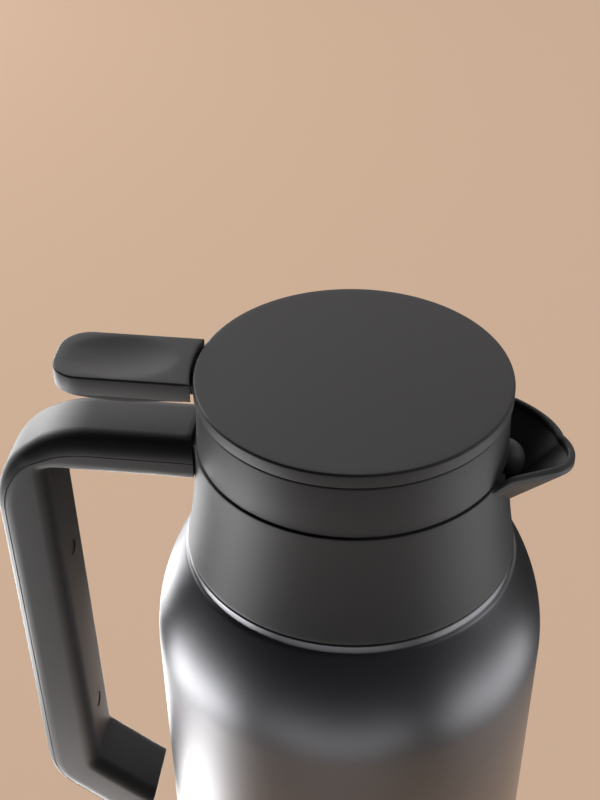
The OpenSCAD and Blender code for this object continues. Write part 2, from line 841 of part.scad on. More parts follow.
module plug_body() {
    color(black)
    difference() {
        union() {
            translate([0, 0, plug_z0]) cylinder(r = plug_r, h = nest_z - plug_z0);
            translate([0, 0, flange_z]) cylinder(r = flange_r, h = flange_t);
            translate([0, 0, seal_z - rib_h]) cylinder(r = rib_r, h = rib_h);
            translate([0, 0, seal_z + seal_h]) cylinder(r = rib_r, h = rib_h);
        }
        translate([0, 0, plug_floor]) cylinder(r = plug_r - plug_wall, h = nest_z);
        translate([0, 0, plug_z0 - over]) cylinder(d = seat_d, h = nest_z);
        around(port_angles, 0) translate([0, -port_w / 2, port_z]) cube([plug_d, port_w, port_h]);
        around(plug_screw_angles, plug_screw_at)
            translate([0, 0, flange_z - over]) cylinder(r = hole_r, h = flange_t + 2 * over);
    }
}

module plug_screws() {
    color(bright)
    around(plug_screw_angles, plug_screw_at) translate([0, 0, flange_z - head_h]) screw(plug_screw_l);
}

module plug_seal() {
    lip = mouth_r - near_gap;
    band = plug_r + 1;
    color(silicone)
    translate([0, 0, seal_z])
    rotate_extrude() polygon([
        [plug_r + seal_gap, seal_gap], [band, seal_gap],
        [lip, seal_line[0][0]], [lip, seal_line[0][1]], [band, seal_line[1][0]], [band, seal_line[1][1]],
        [lip, seal_line[2][0]], [lip, seal_line[2][1]],
        [band, seal_h - seal_gap], [plug_r + seal_gap, seal_h - seal_gap]
    ]);
}

module rod_seal() {
    color(silicone)
    translate([0, 0, nest_z + seal_gap]) ring(rod_r + run_fit, 2 * rod_r - seal_gap, rod_seal_h);
}

module lever_pin() {
    color(bright) cross_rod(-pivot_x, pivot_z, pin_r, 2 * (prong_in + prong_t + ear_room + ear_t));
}

module flap_pin() {
    color(bright) cross_rod(flap_x, flap_z, flap_r, lug_w + 2 * (near_gap + flap_ear_t));
}

// One point of the spring wire, t turns up and at angle s round the wire
function wire_point(t, s, rise) =
    let (a = 360 * t, r = coil_d / 2 + wire_d / 2 * cos(s))
    [r * cos(a), r * sin(a), wire_d / 2 + rise * t / coil_n + wire_d / 2 * sin(s)];

module valve_spring() {
    per_turn = 8;
    sides = 6;
    rise = nest_z - spring_z0 - wire_d;
    rings = coil_n * per_turn;
    echo(least_self_gap = rise / coil_n - wire_d);
    color(bright)
    translate([0, 0, spring_z0])
    polyhedron(
        points = [for (i = [0:rings]) for (k = [0:sides - 1]) wire_point(i / per_turn, 360 * k / sides, rise)],
        faces = concat(
            [[for (k = [sides - 1:-1:0]) k]],
            [for (i = [0:rings - 1]) for (k = [0:sides - 1])
                let (a = i * sides + k, b = i * sides + (k + 1) % sides) [a, b, a + sides]],
            [for (i = [0:rings - 1]) for (k = [0:sides - 1])
                let (a = i * sides + k, b = i * sides + (k + 1) % sides) [b, b + sides, a + sides]],
            [[for (k = [0:sides - 1]) rings * sides + k]]
        )
    );
}

// Plan of the lever, drawn in by inset, with its inner end square
module lever_plan(inset) {
    r = lever_corner - inset;
    half = lever_w / 2 - inset;
    x0 = -lever_x + inset;
    translate([x0 + r, -half]) square([lever_x - r - disc_r / 2, 2 * half]);
    translate([x0, -half + r]) square([2 * r, 2 * (half - r)]);
    for (y = [-1, 1]) translate([x0 + r, y * (half - r)]) circle(r = r, $fn = 64);
}

module lever_cap() {
    bevel = 1.6;
    dish_r = 45;
    dish_d = 0.8;
    dish_xs = [lever_x - 14, lever_x - 30];
    slice = 0.1;
    color(black)
    difference() {
        union() {
            translate([0, 0, lever_z1 - cap_t]) linear_extrude(cap_t - bevel) lever_plan(0);
            hull() {
                translate([0, 0, lever_z1 - bevel - slice]) linear_extrude(slice) lever_plan(0);
                translate([0, 0, lever_z1 - slice]) linear_extrude(slice) lever_plan(bevel);
            }
        }
        translate([0, 0, lever_z1 - cap_t - over]) cylinder(r = lever_end_r, h = cap_t + 2 * over);
        hull() for (x = dish_xs)
            translate([-x, 0, lever_z1 + dish_r - dish_d]) sphere(r = dish_r, $fn = 32);
    }
}

module lever_arm() {
    top = lever_z1 - cap_t - press_fit;
    low = lever_z1 - belly;
    end = lever_x - shell_in;
    root = arm_end_r - 2;
    color(black) {
        difference() {
            union() {
                intersection() {
                    translate([0, 0, low - over]) linear_extrude(top - low + over) lever_plan(shell_in);
                    side(lever_w) polygon(concat(
                        [[-root, top], [-end, top]],
                        [for (p = belly_line) [-end + p[0] * (end - root), low + p[1]]]
                    ));
                }
                translate([-arm_end_r - neck_lap, -neck_w / 2, neck_z0])
                    cube([arm_end_r + neck_lap - pivot_x, neck_w, neck_z1 - neck_z0]);
                cross_rod(-pivot_x, pivot_z, lever_boss_r, lever_boss_w);
                for (y = [-1, 1]) {
                    translate([-pivot_x, y * (prong_in + prong_t / 2) - prong_t / 2, fork_z - fork_r])
                        cube([pivot_x, prong_t, 2 * fork_r]);
                    translate([0, y * (prong_in + prong_t / 2), 0])
                        cross_rod(0, fork_z, fork_r, prong_t);
                }
            }
            translate([0, 0, disc_z0 - near_gap]) cylinder(r = arm_end_r, h = 2 * disc_t);
            difference() {
                translate([0, 0, low - over]) cylinder(r = arm_end_r, h = 2 * disc_t + over);
                translate([-arm_end_r - over, -neck_w / 2, 0])
                    cube([arm_end_r + over, neck_w, neck_z1]);
                cross_rod(-pivot_x, pivot_z, lever_boss_r + over, lever_boss_w + over);
                translate([-pivot_x - over, -disc_r, 0]) cube([disc_r + pivot_x, disc_d, neck_z1]);
            }
            cross_rod(-pivot_x, pivot_z, pin_r + run_fit, disc_r);
        }
    }
}

module valve_rod() {
    color(bright) translate([0, 0, gasket_z - nut_h - rod_end])
        cylinder(r = rod_r, h = rod_top - gasket_z + nut_h + rod_end);
}

module rod_cap() {
    color(black)
    translate([0, 0, flange_lift])
    ring(rod_r + press_fit, prong_in + prong_t + 0.4, cap_flange);
}

module valve_head() {
    color(black)
    translate([0, 0, head_z])
    difference() {
        cylinder(d = head_d, h = head_t);
        translate([0, 0, -over]) cylinder(r = rod_r + press_fit, h = head_t + 2 * over);
    }
}

module valve_gasket() {
    color(silicone) translate([0, 0, gasket_z]) ring(rod_r + 0.1, head_d / 2 + 0.5, disc_h);
}

module valve_nut() {
    color(bright) translate([0, 0, gasket_z - nut_h]) ring(rod_r + press_fit, 2 * rod_r, nut_h);
}

module pour_flap() {
    chin_x = flap_back;
    color(black)
    difference() {
        union() {
            difference() {
                hull() {
                    translate([skirt_r - 1, 0, nose_z]) sphere(r = nose_r, $fn = 32);
                    translate([chin_x, 0, nose_z - chin_drop]) sphere(r = chin_r, $fn = 32);
                }
                translate([0, 0, nest_z - nose_r]) cylinder(r = flap_back, h = 4 * nose_r + nest_h);
            }
            translate([flap_x - lug_half, -lug_w / 2, flap_z - lug_half])
                cube([2 * lug_half, lug_w, 2 * lug_half]);
            translate([flap_x, -lug_w / 2, flap_z - lug_drop])
                cube([flap_back - flap_x + lug_lap, lug_w, lug_arm_h]);
        }
        cross_rod(flap_x, flap_z, flap_r + run_fit, 2 * lug_w);
    }
}

outer_shell();
inner_flask();
base_plate();
seal_plug();
vacuum_getter();
base_pad();
neck_gasket();
collar();
clamp_ring();
collar_screws();
handle_frame();
handle_cover();
handle_screws();
cover_screws();
lid_cover();
lid_skirt();
lid_screws();
plug_body();
plug_screws();
plug_seal();
rod_seal();
lever_pin();
flap_pin();
valve_spring();
lever_arm();
lever_cap();
valve_rod();
rod_cap();
valve_head();
valve_gasket();
valve_nut();
pour_flap();
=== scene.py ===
"""Looks of the thermal carafe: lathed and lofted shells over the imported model, materials and a plain studio."""

import json
import math

import bmesh
import bpy
from bpy.props import FloatProperty, FloatVectorProperty, PointerProperty
from mathutils import Matrix, Vector


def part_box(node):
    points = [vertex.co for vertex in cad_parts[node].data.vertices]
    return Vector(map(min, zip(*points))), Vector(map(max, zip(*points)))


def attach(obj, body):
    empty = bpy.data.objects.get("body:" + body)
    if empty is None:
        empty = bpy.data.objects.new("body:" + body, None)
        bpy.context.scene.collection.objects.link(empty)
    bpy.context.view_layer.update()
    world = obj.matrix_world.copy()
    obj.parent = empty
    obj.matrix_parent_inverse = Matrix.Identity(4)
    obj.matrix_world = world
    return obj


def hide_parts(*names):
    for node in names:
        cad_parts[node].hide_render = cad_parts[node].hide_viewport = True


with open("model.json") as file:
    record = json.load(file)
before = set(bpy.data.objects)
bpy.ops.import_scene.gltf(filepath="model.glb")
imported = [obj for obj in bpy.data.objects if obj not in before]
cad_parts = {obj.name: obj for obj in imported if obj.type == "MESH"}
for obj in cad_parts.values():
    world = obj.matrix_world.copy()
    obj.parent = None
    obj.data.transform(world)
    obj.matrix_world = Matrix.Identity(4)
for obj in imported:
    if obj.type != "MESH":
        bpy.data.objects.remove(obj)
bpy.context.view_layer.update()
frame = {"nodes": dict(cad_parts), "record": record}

bl_info = {
    "name": "Thermal carafe looks",
    "version": (1, 0, 0),
    "blender": (4, 5, 0),
    "location": "View3D > Sidebar > Carafe",
    "description": "Shapes and finishes of an insulated carafe with a thumb lever",
    "category": "Object",
}

MM = 0.001
SPIN_STEPS = 256
ARC_STEPS = 8


def lo(node):
    """Lowest corner of a node, in millimetres."""
    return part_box(node)[0] / MM


def hi(node):
    """Highest corner of a node, in millimetres."""
    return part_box(node)[1] / MM


# Levels that the frame gives, in millimetres
DISC_TOP = hi("lid_cover").z
DISC_R = hi("lid_cover").y
DISC_T = 5.0
DISC_LOW = DISC_TOP - DISC_T
SKIRT_R = hi("lid_skirt").y
SKIRT_LOW = DISC_LOW - 19.6
SEAM = 0.4
COLLAR_TOP = SKIRT_LOW - SEAM
COLLAR_LOW = lo("collar").z
COLLAR_TOP_R = 52.5
COLLAR_LOW_R = hi("collar").y
CUP_R = 49.8
BODY_R = hi("outer_shell").y
LIP_Z = COLLAR_LOW - SEAM
LIP_R = 56.6
WIDEST_Z = LIP_Z - 3.6 - 40.0
BASE_R = 66.5
PAD_T = hi("base_pad").z
LEVER_TOP = hi("lever_cap").z
LEVER_END = lo("lever_cap").x
LEVER_HALF = hi("lever_cap").y
ARM_TOP = hi("handle_cover").z
HANDLE_HALF = hi("handle_cover").y
HANDLE_BACK = lo("handle_cover").x


class CarafeSizes(bpy.types.PropertyGroup):
    """Finishing sizes of the visible shells."""

    disc_edge: FloatProperty(
        name="Disc edge", description="Rounding of the disc's upper edge", default=0.9 * MM, unit="LENGTH"
    )
    seam_edge: FloatProperty(
        name="Seam edge", description="Rounding of the edges along the seams", default=0.3 * MM, unit="LENGTH"
    )
    dish_depth: FloatProperty(
        name="Thumb dish", description="Depth of the dish in the lever", default=1.4 * MM, unit="LENGTH"
    )
    camera_distance: FloatProperty(
        name="Camera distance", description="From the camera to the lid disc", default=0.485, unit="LENGTH"
    )


class CarafeColours(bpy.types.PropertyGroup):
    """Colours of the finishes and of the studio."""

    plastic: FloatVectorProperty(
        name="Plastic", description="Satin black plastic", subtype="COLOR", default=(0.034, 0.0335, 0.036)
    )
    steel: FloatVectorProperty(
        name="Coated steel", description="Satin dark metal of the body", subtype="COLOR", default=(0.14, 0.14, 0.149)
    )
    backdrop: FloatVectorProperty(
        name="Backdrop", description="Floor and wall as the camera sees them", subtype="COLOR",
        default=(0.625, 0.44, 0.315),
    )


class Socket:
    """A node socket or a number that adds Math nodes when it is used in an expression."""

    def __init__(self, shader, value):
        self.shader = shader
        self.value = value

    def _math(self, operation, a, b=None, c=None):
        values = {0: a} if b is None else {0: a, 1: b}
        if c is not None:
            values[2] = c
        return self.shader.node("ShaderNodeMath", {"operation": operation}, values)

    def __add__(self, other):
        return self._math("ADD", self, other)

    __radd__ = __add__

    def __sub__(self, other):
        return self._math("SUBTRACT", self, other)

    def __rsub__(self, other):
        return self._math("SUBTRACT", other, self)

    def __mul__(self, other):
        return self._math("MULTIPLY", self, other)

    __rmul__ = __mul__

    def __truediv__(self, other):
        return self._math("DIVIDE", self, other)

    def power(self, other):
        return self._math("POWER", self, other)

    def smooth(self, low, high):
        """0 below low and 1 above high, with a soft step between."""
        settings = {"interpolation_type": "SMOOTHSTEP"}
        values = {"Value": self, "From Min": low, "From Max": high}
        return self.shader.node("ShaderNodeMapRange", settings, values)


class Shader:
    """A material under construction."""

    def __init__(self, name):
        self.material = bpy.data.materials.get(name) or bpy.data.materials.new(name)
        self.material.use_nodes = True
        self.tree = self.material.node_tree
        self.tree.nodes.clear()

    @classmethod
    def of_world(cls, world):
        made = cls.__new__(cls)
        made.material, made.tree = world, world.node_tree
        made.tree.nodes.clear()
        return made

    def node(self, kind, settings=None, values=None, out=0):
        made = self.tree.nodes.new(kind)
        for name, value in (settings or {}).items():
            if name == "stops":
                self._stops(made, value)
            else:
                setattr(made, name, value)
        for name, value in (values or {}).items():
            self.plug(made.inputs[name], value)
        return Socket(self, made.outputs[out])

    def _stops(self, made, stops):
        ramp = made.color_ramp
        while len(ramp.elements) < len(stops):
            ramp.elements.new(1.0)
        for element, (place, colour) in zip(ramp.elements, stops):
            element.position = place
            element.color = colour

    def plug(self, socket, value):
        if isinstance(value, Socket):
            self.tree.links.new(value.value, socket)
        else:
            socket.default_value = value

    def noise(self, scale, detail=2.0, rough=0.5):
        place = self.node("ShaderNodeTexCoord", out=3)
        values = {"Vector": place, "Scale": scale, "Detail": detail, "Roughness": rough}
        return self.node("ShaderNodeTexNoise", {}, values)

    def mix(self, factor, first, second):
        values = {"Factor": factor, "A": first, "B": second}
        made = self.tree.nodes.new("ShaderNodeMix")
        made.data_type = "RGBA"
        colours = [s for s in made.inputs if s.type == "RGBA"]
        self.plug(made.inputs[0], values["Factor"])
        self.plug(colours[0], values["A"])
        self.plug(colours[1], values["B"])
        return Socket(self, [s for s in made.outputs if s.type == "RGBA"][0])

    def bump(self, height, strength, distance):
        values = {"Height": height, "Strength": strength, "Distance": distance}
        return self.node("ShaderNodeBump", {}, values)

    def finish(self, **values):
        """Adds the surface with its sockets, whose names have spaces for underscores."""
        surface = self.tree.nodes.new("ShaderNodeBsdfPrincipled")
        output = self.tree.nodes.new("ShaderNodeOutputMaterial")
        self.tree.links.new(surface.outputs[0], output.inputs["Surface"])
        for name, value in values.items():
            self.plug(surface.inputs[name.replace("_", " ")], value)
        return self.material


def rgba(colour, gain=1.0):
    return tuple(gain * c for c in colour[:3]) + (1.0,)


def black_plastic(name="black_plastic", rough=0.58, gain=1.0):
    """Fine-textured satin plastic: a faint sparkle from the mould, uneven gloss and no wear."""
    shader = Shader(name)
    colours = bpy.context.scene.carafe_colours
    grain = shader.noise(2600.0, 2.0, 0.6)
    cloud = shader.noise(28.0, 3.0, 0.55)
    tone = shader.mix(cloud.smooth(0.3, 0.7), rgba(colours.plastic, 0.92 * gain), rgba(colours.plastic, 1.08 * gain))
    gloss = rough + (cloud - 0.5) * 0.05 + (grain - 0.5) * 0.06
    relief = shader.bump(grain, 0.2, 0.00006)
    return shader.finish(Base_Color=tone, Roughness=gloss, Normal=relief, IOR=1.5)


def dark_steel():
    """Satin dark metal: an even coat over steel that reflects the room softly."""
    shader = Shader("dark_steel")
    colours = bpy.context.scene.carafe_colours
    grain = shader.noise(1500.0, 2.0, 0.5)
    cloud = shader.noise(16.0, 2.0, 0.5)
    tone = shader.mix(cloud.smooth(0.3, 0.7), rgba(colours.steel, 0.96), rgba(colours.steel, 1.04))
    gloss = 0.42 + (cloud - 0.5) * 0.03 + (grain - 0.5) * 0.05
    relief = shader.bump(grain, 0.1, 0.0001)
    return shader.finish(Base_Color=tone, Roughness=gloss, Metallic=1.0, Normal=relief)


def bright_steel():
    """Plain drawn stainless steel with fine turning marks along its height."""
    shader = Shader("bright_steel")
    place = shader.node("ShaderNodeTexCoord", out=3)
    stretch = shader.node("ShaderNodeMapping", {}, {"Vector": place, "Scale": (30.0, 30.0, 3000.0)})
    lines = shader.node("ShaderNodeTexNoise", {}, {"Vector": stretch, "Scale": 1.0, "Detail": 2.0})
    tone = shader.mix(lines.smooth(0.3, 0.7), (0.60, 0.60, 0.61, 1.0), (0.68, 0.68, 0.69, 1.0))
    relief = shader.bump(lines, 0.08, 0.00006)
    return shader.finish(Base_Color=tone, Roughness=0.24 + lines * 0.1, Metallic=1.0, Normal=relief)


def base_rubber():
    """Matt black rubber with a slightly dusty, uneven surface."""
    shader = Shader("base_rubber")
    grain = shader.noise(900.0, 3.0, 0.6)
    cloud = shader.noise(40.0, 2.0, 0.5)
    tone = shader.mix(cloud.smooth(0.3, 0.8), (0.022, 0.022, 0.022, 1.0), (0.034, 0.033, 0.032, 1.0))
    relief = shader.bump(grain, 0.3, 0.0001)
    return shader.finish(Base_Color=tone, Roughness=0.75 + (grain - 0.5) * 0.1, Normal=relief)


def pale_silicone():
    """Pale food-safe silicone with a soft sheen."""
    shader = Shader("pale_silicone")
    cloud = shader.noise(120.0, 2.0, 0.5)
    tone = shader.mix(cloud.smooth(0.3, 0.7), (0.66, 0.65, 0.60, 1.0), (0.72, 0.71, 0.67, 1.0))
    return shader.finish(Base_Color=tone, Roughness=0.5 + (cloud - 0.5) * 0.08, Subsurface_Weight=0.15)


def black_steel():
    """Black-coated steel of the handle's screws."""
    shader = Shader("black_steel")
    grain = shader.noise(1200.0, 2.0, 0.5)
    return shader.finish(Base_Color=(0.03, 0.03, 0.03, 1.0), Metallic=0.4, Roughness=0.42 + (grain - 0.5) * 0.08)


FINISHES = {
    "black_steel": black_steel,
    "black_plastic": black_plastic,
    "dark_steel": dark_steel,
    "bright_steel": bright_steel,
    "base_rubber": base_rubber,
    "pale_silicone": pale_silicone,
}


def arc(centre, radius, start, end, steps=ARC_STEPS):
    """Points of an arc in a plane, angles in degrees."""
    return [
        (centre[0] + radius * math.cos(math.radians(start + (end - start) * i / steps)),
         centre[1] + radius * math.sin(math.radians(start + (end - start) * i / steps)))
        for i in range(steps + 1)
    ]


def new_piece(name, mesh, body, nodes, finish, smooth_angle=40.0):
    """Finishes a bmesh as an object that rides on a body and stands for its nodes."""
    bmesh.ops.recalc_face_normals(mesh, faces=mesh.faces)
    data = bpy.data.meshes.new(name)
    mesh.to_mesh(data)
    mesh.free()
    piece = bpy.data.objects.new(name, data)
    bpy.context.scene.collection.objects.link(piece)
    shade(piece, smooth_angle)
    dress(piece, finish)
    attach(piece, body)
    if nodes:
        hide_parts(*nodes)
    return piece


def shade(piece, angle):
    """Smooth shading with sharp edges past an angle in degrees."""
    data = piece.data
    data.polygons.foreach_set("use_smooth", [True] * len(data.polygons))
    data.set_sharp_from_angle(angle=math.radians(angle))
    data.update()


def dress(piece, finish):
    piece.data.materials.clear()
    piece.data.materials.append(bpy.data.materials[finish])


def lathe(outline, closed=True, steps=SPIN_STEPS):
    """Turns an outline of (radius, height) in millimetres about the axis."""
    mesh = bmesh.new()
    verts = [mesh.verts.new((r * MM, 0, z * MM)) for r, z in outline]
    edges = [mesh.edges.new(pair) for pair in zip(verts, verts[1:])]
    if closed:
        edges.append(mesh.edges.new((verts[-1], verts[0])))
    bmesh.ops.spin(
        mesh, geom=verts + edges, cent=(0, 0, 0), axis=(0, 0, 1), angle=2 * math.pi,
        steps=steps, use_merge=True, use_duplicate=False,
    )
    bmesh.ops.remove_doubles(mesh, verts=mesh.verts, dist=0.004 * MM)
    return mesh


def loft(rings):
    """Skins a row of rings with the same count of points, each a mirror of its own second half."""
    mesh = bmesh.new()
    rows = [[mesh.verts.new(p) for p in ring] for ring in rings]
    count = len(rows[0])
    for near, far in zip(rows, rows[1:]):
        for i in range(count):
            j = (i + 1) % count
            mesh.faces.new((near[i], near[j], far[j], far[i]))
    half = count // 2
    for row in (rows[0], rows[-1]):
        for i in range(half - 1):
            mesh.faces.new((row[i], row[i + 1], row[count - 2 - i], row[count - 1 - i]))
        if count % 2:
            mesh.faces.new(row[half - 1:half + 2])
    return mesh


def body_profile():
    """Outline of the steel body from the foot to the lip, with its shoulder and step."""
    run = BODY_R - LIP_R - 0.8
    shoulder_r = (run * run + 1600.0) / (2 * run)
    top_angle = math.degrees(math.asin(40.0 / shoulder_r))
    foot = arc((BASE_R - 5.0, PAD_T + 5.0), 5.0, -90, 0)
    shoulder = arc((BODY_R - shoulder_r, WIDEST_Z), shoulder_r, 0, top_angle, 40)
    ledge = LIP_Z - 3.6
    step = [
        (LIP_R + 0.45, ledge + 0.12),
        (LIP_R + 0.16, ledge + 0.3),
        (LIP_R, ledge + 0.62),
        (LIP_R, LIP_Z - 0.5),
    ]
    return foot + shoulder + step


def outer_shell():
    """The steel body with its neck, as a closed shell."""
    wall = 0.8
    neck_r = 41.5
    neck_top = LIP_Z + 18.4
    outside = body_profile() + arc((LIP_R - 0.5, LIP_Z - 0.5), 0.5, 0, 90, 5)
    neck = [(neck_r, LIP_Z), (neck_r, neck_top - 5.2)]
    bead = arc((neck_r - 0.3, neck_top - 4.0), 1.2, -75, 75, 8)
    inside = [(neck_r, neck_top), (neck_r - wall, neck_top), (neck_r - wall, LIP_Z - wall),
              (LIP_R - wall, LIP_Z - wall), (LIP_R - wall, LIP_Z - 3.4)]
    run = BODY_R - LIP_R - 0.8
    shoulder_r = (run * run + 1600.0) / (2 * run)
    top_angle = math.degrees(math.asin(40.0 / shoulder_r))
    back = arc((BODY_R - shoulder_r, WIDEST_Z), shoulder_r - wall, top_angle, 0, 30)
    low = arc((BASE_R - 5.0, PAD_T + 5.0), 5.0 - wall, 0, -90)
    rim = [(46.0, PAD_T + wall), (46.0, PAD_T)]
    return lathe(outside + neck + bead + inside + back + low + rim)


def disc_profile(edge):
    """The lid disc: a flat plate whose rim hangs over the skirt."""
    low_edge = 0.5
    return (
        [(0.0, DISC_TOP - 2.6), (46.6, DISC_TOP - 2.6), (46.6, DISC_LOW - 3.5), (48.5, DISC_LOW - 3.5),
         (48.5, DISC_LOW)]
        + arc((DISC_R - low_edge, DISC_LOW + low_edge), low_edge, -90, 0, 5)
        + arc((DISC_R - edge, DISC_TOP - edge), edge, 0, 90, 8)
        + [(DISC_R - 3.0, DISC_TOP), (30.0, DISC_TOP), (0.0, DISC_TOP)]
    )


BAND_FLARE = 0.5


def skirt_profile(edge):
    """The skirt: the band under the disc and the cup that nests in the collar."""
    shoulder = 1.6
    inner = SKIRT_R - 2.4
    nest = CUP_R - 0.5
    nest_low = SKIRT_LOW - 9.0
    return (
        [(0.0, nest_low), (nest, nest_low), (nest, SKIRT_LOW)]
        + arc((SKIRT_R + BAND_FLARE - edge, SKIRT_LOW + edge), edge, -90, 0, 5)
        + arc((SKIRT_R - shoulder, DISC_LOW - shoulder), shoulder, 0, 90, 8)
        + [(inner, DISC_LOW), (inner, SKIRT_LOW + 2.0), (nest - 2.4, SKIRT_LOW - 1.0), (nest - 2.4, nest_low + 2.5),
           (0.0, nest_low + 2.5)]
    )


def collar_profile(edge):
    """The collar: a wall that flares down to the lip, and its floor round the mouth."""
    wall = 2.4
    height = COLLAR_TOP - COLLAR_LOW
    run = COLLAR_LOW_R - COLLAR_TOP_R
    flare_r = (run * run + height * height) / (2 * run)
    centre = (COLLAR_TOP_R + flare_r, COLLAR_TOP)
    low_angle = 180 + math.degrees(math.asin((height - edge) / flare_r))
    top_angle = 180 + math.degrees(math.asin(edge / flare_r))
    floor_low, floor_top = LIP_Z + 20.7, LIP_Z + 23.1
    under_z = floor_low + 1.8
    under_angle = 180 + math.degrees(math.asin((COLLAR_TOP - under_z) / (flare_r + wall)))
    low_in = 180 + math.degrees(math.asin(height / (flare_r + wall)))
    outside = arc(centre, flare_r, low_angle, top_angle, 30)
    return (
        [(39.0, floor_top), (39.0, floor_low), (43.0, floor_low)]
        + arc(centre, flare_r + wall, under_angle, low_in, 12)
        + arc((outside[0][0] - edge, COLLAR_LOW + edge), edge, -90, 0, 4)
        + outside[1:]
        + arc((COLLAR_TOP_R - edge, COLLAR_TOP - edge), edge, 0, 90, 5)[1:]
        + [(CUP_R, COLLAR_TOP), (CUP_R, floor_top + 2.2)]
    )


# Spout sizes, in millimetres
SPOUT_REACH = hi("collar").x
TIP_R = 13.0
SPOUT_HALF = 25.4
SPOUT_ROOT = 44.6
SPOUT_WALL = 2.5
KEEL_X = CUP_R - 1.3
KEEL_Z = COLLAR_TOP - 18.6
RIM_HIGH = 2.2
TIP_DROP = 0.6


# Side of the spout away from the camera: its root, the point that its curve leans to and where it meets the tip
FAR_ROOT = Vector((42.5, 29.5))
FAR_LEAN = Vector((66.0, 23.0))
FAR_MEET = 43.4


def spout_plan(inset, steps=14):
    """Plan of the spout from its far root round the tip to its near root, drawn in by inset."""
    tip = TIP_R - inset
    centre = SPOUT_REACH - TIP_R
    root = Vector((SPOUT_ROOT, SPOUT_HALF - inset))
    away = root - Vector((centre, 0))
    angle = math.atan2(away.y, away.x) - math.acos(tip / away.length)
    touch = Vector((centre + tip * math.cos(angle), tip * math.sin(angle)))
    near = [(x, -y) for x, y in (root.lerp(touch, i / steps) for i in reversed(range(steps)))]
    nose = arc((centre, 0), tip, FAR_MEET, -math.degrees(angle), 2 * steps)
    start = FAR_ROOT - inset * Vector((0.2, 0.98))
    lean = FAR_LEAN - inset * Vector((0.66, 0.84))
    far = []
    for i in range(steps):
        share = i / steps
        one, two = start.lerp(lean, share), lean.lerp(Vector(nose[0]), share)
        far.append(tuple(one.lerp(two, share)))
    return far + nose + near


def rim_height(x):
    """Height of the spout's rim at a reach x: it rises from the collar and falls a little to the tip."""
    crest = COLLAR_TOP_R + 0.5
    foot = SPOUT_ROOT + 2.0
    if x < crest:
        share = max(0.0, (x - foot) / (crest - foot))
        return COLLAR_TOP + RIM_HIGH * share * share * (3 - 2 * share)
    share = (x - crest) / (SPOUT_REACH - crest)
    return COLLAR_TOP + RIM_HIGH - (RIM_HIGH + TIP_DROP) * share


def spout_ribs(inset, low, high, rows, plan):
    """Rings of points of a spout surface, from its keel up to its rim."""
    keel_r = 2 * SPOUT_WALL - inset
    rings = []
    for i, (x, y) in enumerate(plan):
        share = i / (len(plan) - 1)
        side = math.radians(78 - 156 * share)
        down = math.radians(-38)
        keel = Vector((
            KEEL_X + keel_r * math.cos(side) * math.cos(down),
            keel_r * math.sin(side),
            KEEL_Z + keel_r * math.sin(down) * math.cos(side),
        ))
        rim = Vector((x, y, rim_height(x) + low))
        rib = [keel.lerp(rim, k / rows) for k in range(rows + 1)]
        if high > low:
            rib.append(Vector((x, y, rim_height(x) + high)))
        rings.append(rib)
    return rings


def spout_shell():
    """The spout as a closed trough with a round rim."""
    outer_plan, inner_plan = spout_plan(0), spout_plan(SPOUT_WALL)
    round_r = SPOUT_WALL / 2
    outer = spout_ribs(0, -round_r - 1.6, -round_r, 12, outer_plan)
    inner = spout_ribs(SPOUT_WALL, -round_r - 1.6, -round_r, 12, inner_plan)
    rows = []
    for out_rib, in_rib in zip(outer, inner):
        top_out, top_in = out_rib[-1], in_rib[-1]
        middle = (top_out + top_in) / 2
        across = (top_out - top_in) / 2
        cap = [
            middle + across * math.cos(math.radians(a)) + Vector((0, 0, round_r)) * math.sin(math.radians(a))
            for a in range(15, 180, 15)
        ]
        rows.append([p * MM for p in out_rib + cap + list(reversed(in_rib))])
    return loft(rows)


def spout_opening():
    """The solid of the pouring channel inside the spout."""
    plan = spout_plan(SPOUT_WALL)
    ribs = spout_ribs(SPOUT_WALL, -3.0, 8.0, 10, plan)
    back = [Vector((SPOUT_ROOT - 8.0, 0, p.z)) for p in ribs[0]]
    rows = [[p * MM for p in rib] for rib in ribs]
    mesh = bmesh.new()
    grid = [[mesh.verts.new(p) for p in row] for row in rows]
    spine = [mesh.verts.new(p * MM) for p in back]
    loop = [spine] + grid + [spine]
    for near, far in zip(loop, loop[1:]):
        for i in range(len(spine) - 1):
            mesh.faces.new((near[i], near[i + 1], far[i + 1], far[i]))
    mesh.faces.new([spine[0]] + [row[0] for row in grid])
    mesh.faces.new([spine[-1]] + [row[-1] for row in reversed(grid)])
    return mesh


def scratch_object(name, mesh):
    bmesh.ops.remove_doubles(mesh, verts=mesh.verts, dist=0.004 * MM)
    bmesh.ops.recalc_face_normals(mesh, faces=mesh.faces)
    data = bpy.data.meshes.new(name)
    mesh.to_mesh(data)
    mesh.free()
    made = bpy.data.objects.new(name, data)
    bpy.context.scene.collection.objects.link(made)
    return made


def cut_or_join(base, tool, operation):
    """Applies a boolean to base and removes the tool."""
    modifier = base.modifiers.new("join", "BOOLEAN")
    modifier.operation = operation
    modifier.solver = "EXACT"
    modifier.object = tool
    graph = bpy.context.evaluated_depsgraph_get()
    data = bpy.data.meshes.new_from_object(base.evaluated_get(graph))
    base.modifiers.clear()
    old = base.data
    base.data = data
    bpy.data.meshes.remove(old)
    bpy.data.objects.remove(tool)


def bmesh_of(piece):
    """A bmesh of an object, which is then removed, without the slivers that a boolean leaves."""
    mesh = bmesh.new()
    mesh.from_mesh(piece.data)
    bpy.data.objects.remove(piece)
    bmesh.ops.dissolve_degenerate(mesh, edges=mesh.edges, dist=0.004 * MM)
    return mesh


